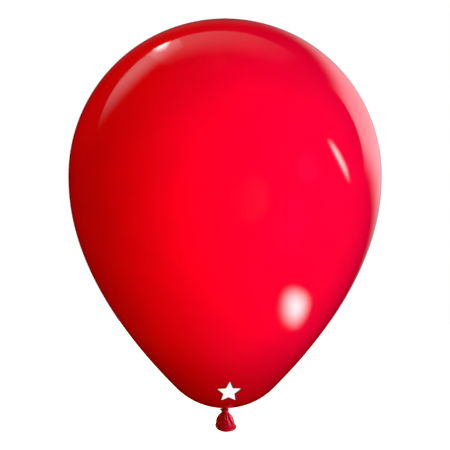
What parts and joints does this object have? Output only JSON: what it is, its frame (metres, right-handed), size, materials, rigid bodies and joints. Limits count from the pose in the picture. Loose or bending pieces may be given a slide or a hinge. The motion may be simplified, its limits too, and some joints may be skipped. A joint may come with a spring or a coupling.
{
  "type": "latex balloon",
  "caption": "Inflated pear-shaped latex party balloon, tied off with a knot in its own neck above a short flared tail with a rolled lip.",
  "frame": {"origin": "on the balloon's axis in the tie groove, the narrow place between the inflated envelope and the knot, where a ribbon goes round the neck", "axes": "+Z from the tie groove up the axis to the crown; the knot and tail hang towards -Z; the tail at rest leans a little towards +Y, so -Y is the front"},
  "size_m": [0.305, 0.305, 0.4085],
  "materials": {
    "stretched_latex": "gloss",
    "gathered_latex": "gloss",
    "printed_ink": "satin"
  },
  "bodies": {
    "envelope": {"envelope": "stretched_latex"},
    "throat": {"throat_gather": "stretched_latex"},
    "neck": {"neck_stem": "gathered_latex"},
    "knot": {"overhand_knot": "gathered_latex"},
    "tail": {"tail_skirt": "gathered_latex", "rolled_lip": "gathered_latex"}
  },
  "joints": [
    {"name": "neck_twist", "type": "hinge", "parent": "envelope", "child": "throat", "pos_m": [0, 0, 0], "axis": [0, 0, 1], "range_deg": [-180, 180], "stiffness_Nm_per_rad": 0.001},
    {"name": "neck_tilt", "type": "hinge", "parent": "throat", "child": "neck", "pos_m": [0, 0, 0], "axis": [0, 1, 0], "range_deg": [-25, 25], "stiffness_Nm_per_rad": 0.0015},
    {"name": "neck_nod", "type": "hinge", "parent": "neck", "child": "knot", "pos_m": [0, 0, 0], "axis": [1, 0, 0], "range_deg": [-25, 25], "stiffness_Nm_per_rad": 0.0015},
    {"name": "tail_bend", "type": "hinge", "parent": "knot", "child": "tail", "pos_m": [0, 0, -0.00725], "axis": [1, 0, 0], "range_deg": [-40, 20], "stiffness_Nm_per_rad": 0.0008}
  ]
}
